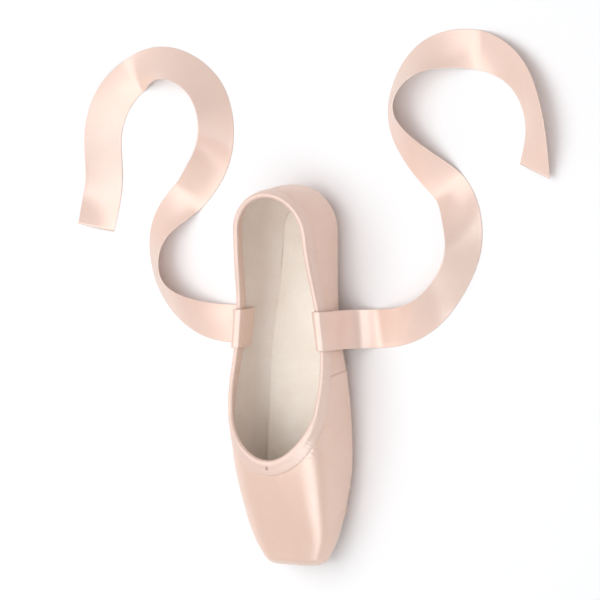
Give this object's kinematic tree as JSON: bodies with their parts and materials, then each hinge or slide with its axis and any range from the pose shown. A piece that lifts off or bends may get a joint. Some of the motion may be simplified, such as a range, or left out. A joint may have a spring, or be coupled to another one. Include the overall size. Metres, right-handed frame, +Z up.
{
  "type": "pointe shoe",
  "caption": "Satin pointe shoe with a stiff flat-fronted toe box, thin narrow-waisted leather sole, bound collar and long loose ribbons.",
  "frame": {"origin": "on the floor, under the centre of the shoe's bounding box without its ribbons", "axes": "+Z up from the floor, toe towards -Y and heel towards +Y, +X to the shoe's own left as its wearer looks towards the toe"},
  "size_m": [0.3382, 0.3319, 0.0558],
  "materials": {
    "satin": "pale peach-pink satin, smooth, with a soft bright sheen",
    "sole_leather": "smooth pale pink-brown sole leather, matt",
    "insole_cotton": "matt natural cotton",
    "binding_satin": "folded satin strip, a little lighter than the upper",
    "ribbon_satin": "double-faced satin ribbon with a bright sheen"
  },
  "bodies": {
    "root": {"upper": "satin", "outsole": "sole_leather", "insole": "insole_cotton", "collar_binding": "binding_satin", "ribbon_right": "ribbon_satin", "ribbon_left": "ribbon_satin"}
  },
  "joints": []
}
